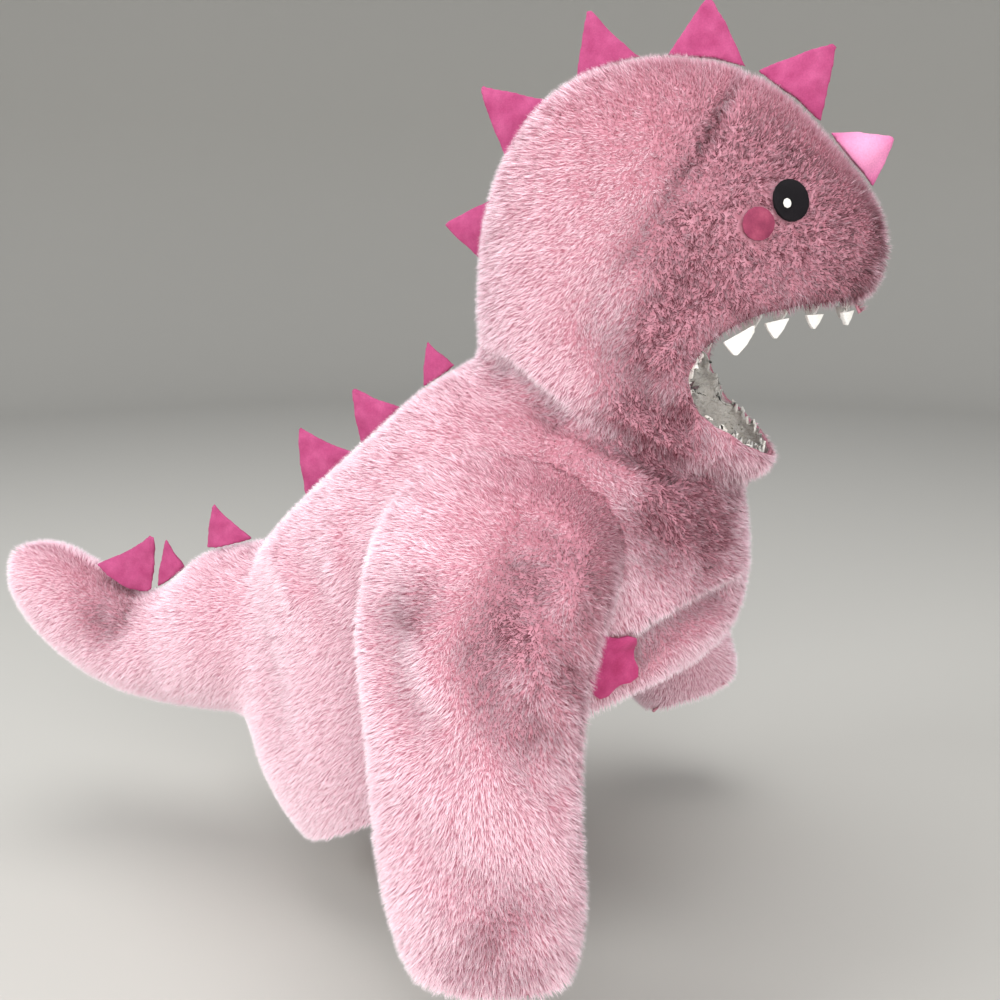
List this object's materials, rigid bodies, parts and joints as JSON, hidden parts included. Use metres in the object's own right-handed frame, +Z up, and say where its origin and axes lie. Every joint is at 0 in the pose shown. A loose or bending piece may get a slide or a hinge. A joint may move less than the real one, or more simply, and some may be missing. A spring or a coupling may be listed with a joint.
{
  "type": "dinosaur jacket",
  "caption": "Hooded plush jacket for a small child, its hood an open-mouthed dinosaur's head, with felt spikes and a stuffed tail.",
  "frame": {"origin": "middle of the neckline, where the wearer's shoulders carry the jacket", "axes": "+Z up, the front of the jacket faces -Y, the wearer's right side is -X"},
  "size_m": [0.4184, 0.6165, 0.5432],
  "materials": {
    "plush": "long soft pile with pale tips and rose roots",
    "spike_felt": "brushed hot-pink felt with a soft sheen",
    "fleece_lining": "off-white looped fleece",
    "black_felt": "dense matt felt",
    "white_felt": "dense matt felt",
    "cheek_felt": "dense matt felt"
  },
  "bodies": {
    "root": {"hood_back_right": "plush", "hood_back_left": "plush", "muzzle_right": "plush", "muzzle_left": "plush", "hood_lining": "fleece_lining", "back_right": "plush", "back_left": "plush", "front_right": "plush", "front_left": "plush", "sleeve_right": "plush", "sleeve_left": "plush", "tail": "plush", "spike_01": "spike_felt", "spike_02": "spike_felt", "spike_03": "spike_felt", "spike_04": "spike_felt", "spike_05": "spike_felt", "spike_06": "spike_felt", "spike_07": "spike_felt", "spike_08": "spike_felt", "spike_09": "spike_felt", "spike_10": "spike_felt", "spike_11": "spike_felt", "spike_12": "spike_felt", "eye_right": "black_felt", "eye_left": "black_felt", "eye_glint_right": "white_felt", "eye_glint_left": "white_felt", "cheek_right": "cheek_felt", "cheek_left": "cheek_felt", "tooth_right_1": "white_felt", "tooth_right_2": "white_felt", "tooth_right_3": "white_felt", "tooth_right_4": "white_felt", "tooth_left_1": "white_felt", "tooth_left_2": "white_felt", "tooth_left_3": "white_felt", "tooth_left_4": "white_felt", "patch_right": "spike_felt"}
  },
  "joints": []
}
